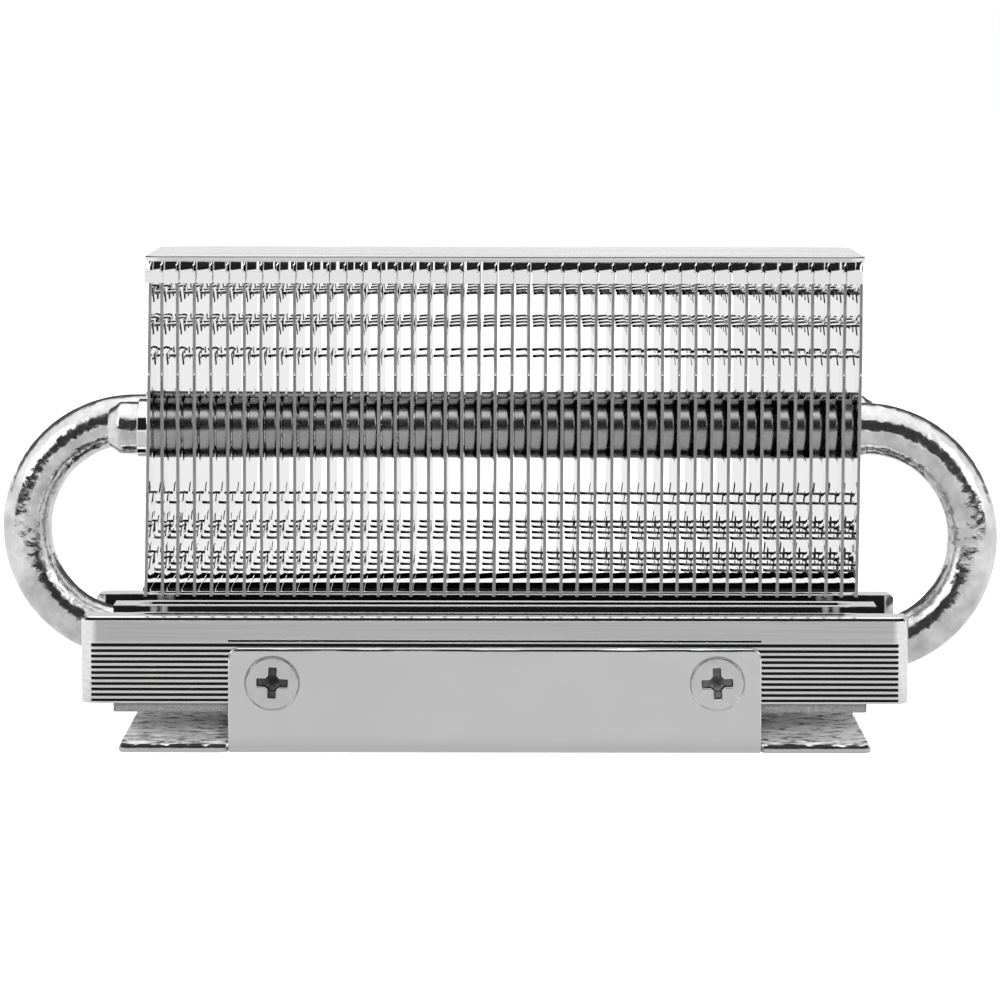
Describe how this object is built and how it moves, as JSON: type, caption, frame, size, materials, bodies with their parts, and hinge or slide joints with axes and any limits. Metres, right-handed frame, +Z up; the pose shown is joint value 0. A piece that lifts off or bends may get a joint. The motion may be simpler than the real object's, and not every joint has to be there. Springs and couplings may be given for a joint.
{
  "type": "ssd heat sink",
  "caption": "Tower heat sink for a stick-shaped solid state drive: grooved base, two U-bent heat pipes, thin upright fins under a cover, soft pads and a screwed-on clip.",
  "frame": {"origin": "middle of the footprint, on the underside of the clip, which is what it stands on", "axes": "+X along the length, +Y across the fins, +Z up from the clip to the cover"},
  "size_m": [0.0956, 0.0236, 0.0468],
  "materials": {
    "fin": "bright rolled sheet",
    "base": "nickel plated, milled with fine grooves",
    "pipe": "nickel plated copper tube",
    "cover": "satin sheet",
    "pad_dark": "matt grey silicone",
    "pad_light": "matt light grey silicone with a wrinkled skin",
    "clip": "satin sheet steel",
    "screw": "nickel plated steel"
  },
  "bodies": {
    "root": {"fin_01": "fin", "fin_02": "fin", "fin_03": "fin", "fin_04": "fin", "fin_05": "fin", "fin_06": "fin", "fin_07": "fin", "fin_08": "fin", "fin_09": "fin", "fin_10": "fin", "fin_11": "fin", "fin_12": "fin", "fin_13": "fin", "fin_14": "fin", "fin_15": "fin", "fin_16": "fin", "fin_17": "fin", "fin_18": "fin", "fin_19": "fin", "fin_20": "fin", "fin_21": "fin", "fin_22": "fin", "fin_23": "fin", "fin_24": "fin", "fin_25": "fin", "fin_26": "fin", "fin_27": "fin", "fin_28": "fin", "fin_29": "fin", "fin_30": "fin", "fin_31": "fin", "fin_32": "fin", "fin_33": "fin", "fin_34": "fin", "fin_35": "fin", "fin_36": "fin", "fin_37": "fin", "fin_38": "fin", "fin_39": "fin", "fin_40": "fin", "fin_41": "fin", "fin_42": "fin", "fin_43": "fin", "fin_44": "fin", "base_block": "base", "heat_pipe_front": "pipe", "heat_pipe_rear": "pipe", "top_cover": "cover", "thermal_pad_upper": "pad_dark", "thermal_pad_lower": "pad_light", "clip_bracket": "clip", "clip_screws": "screw"}
  },
  "joints": []
}
